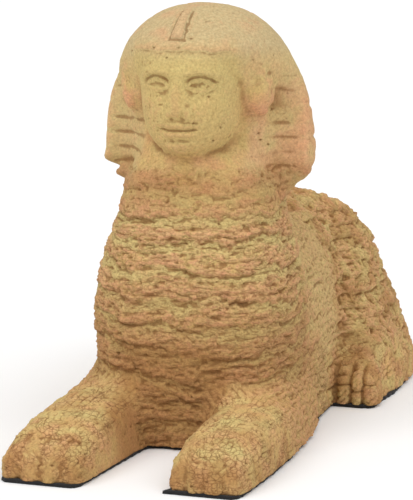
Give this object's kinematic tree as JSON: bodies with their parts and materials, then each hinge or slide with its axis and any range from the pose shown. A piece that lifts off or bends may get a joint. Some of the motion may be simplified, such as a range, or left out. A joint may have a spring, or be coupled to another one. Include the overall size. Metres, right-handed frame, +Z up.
{
  "type": "sphinx statue",
  "caption": "Small recumbent sphinx statue cast in sand-coloured stone resin, with a weathered headcloth and chest, on a thin black felt pad.",
  "frame": {"origin": "on the surface the statue stands on, under the middle of its bounding box", "axes": "+Z up, -Y the way the sphinx faces, +X the sphinx's own left"},
  "size_m": [0.0992, 0.1846, 0.127],
  "materials": {
    "stone_resin": "matte, sandy grain",
    "felt": "matte felt"
  },
  "bodies": {
    "root": {"sphinx": "stone_resin", "felt_pad": "felt"}
  },
  "joints": []
}
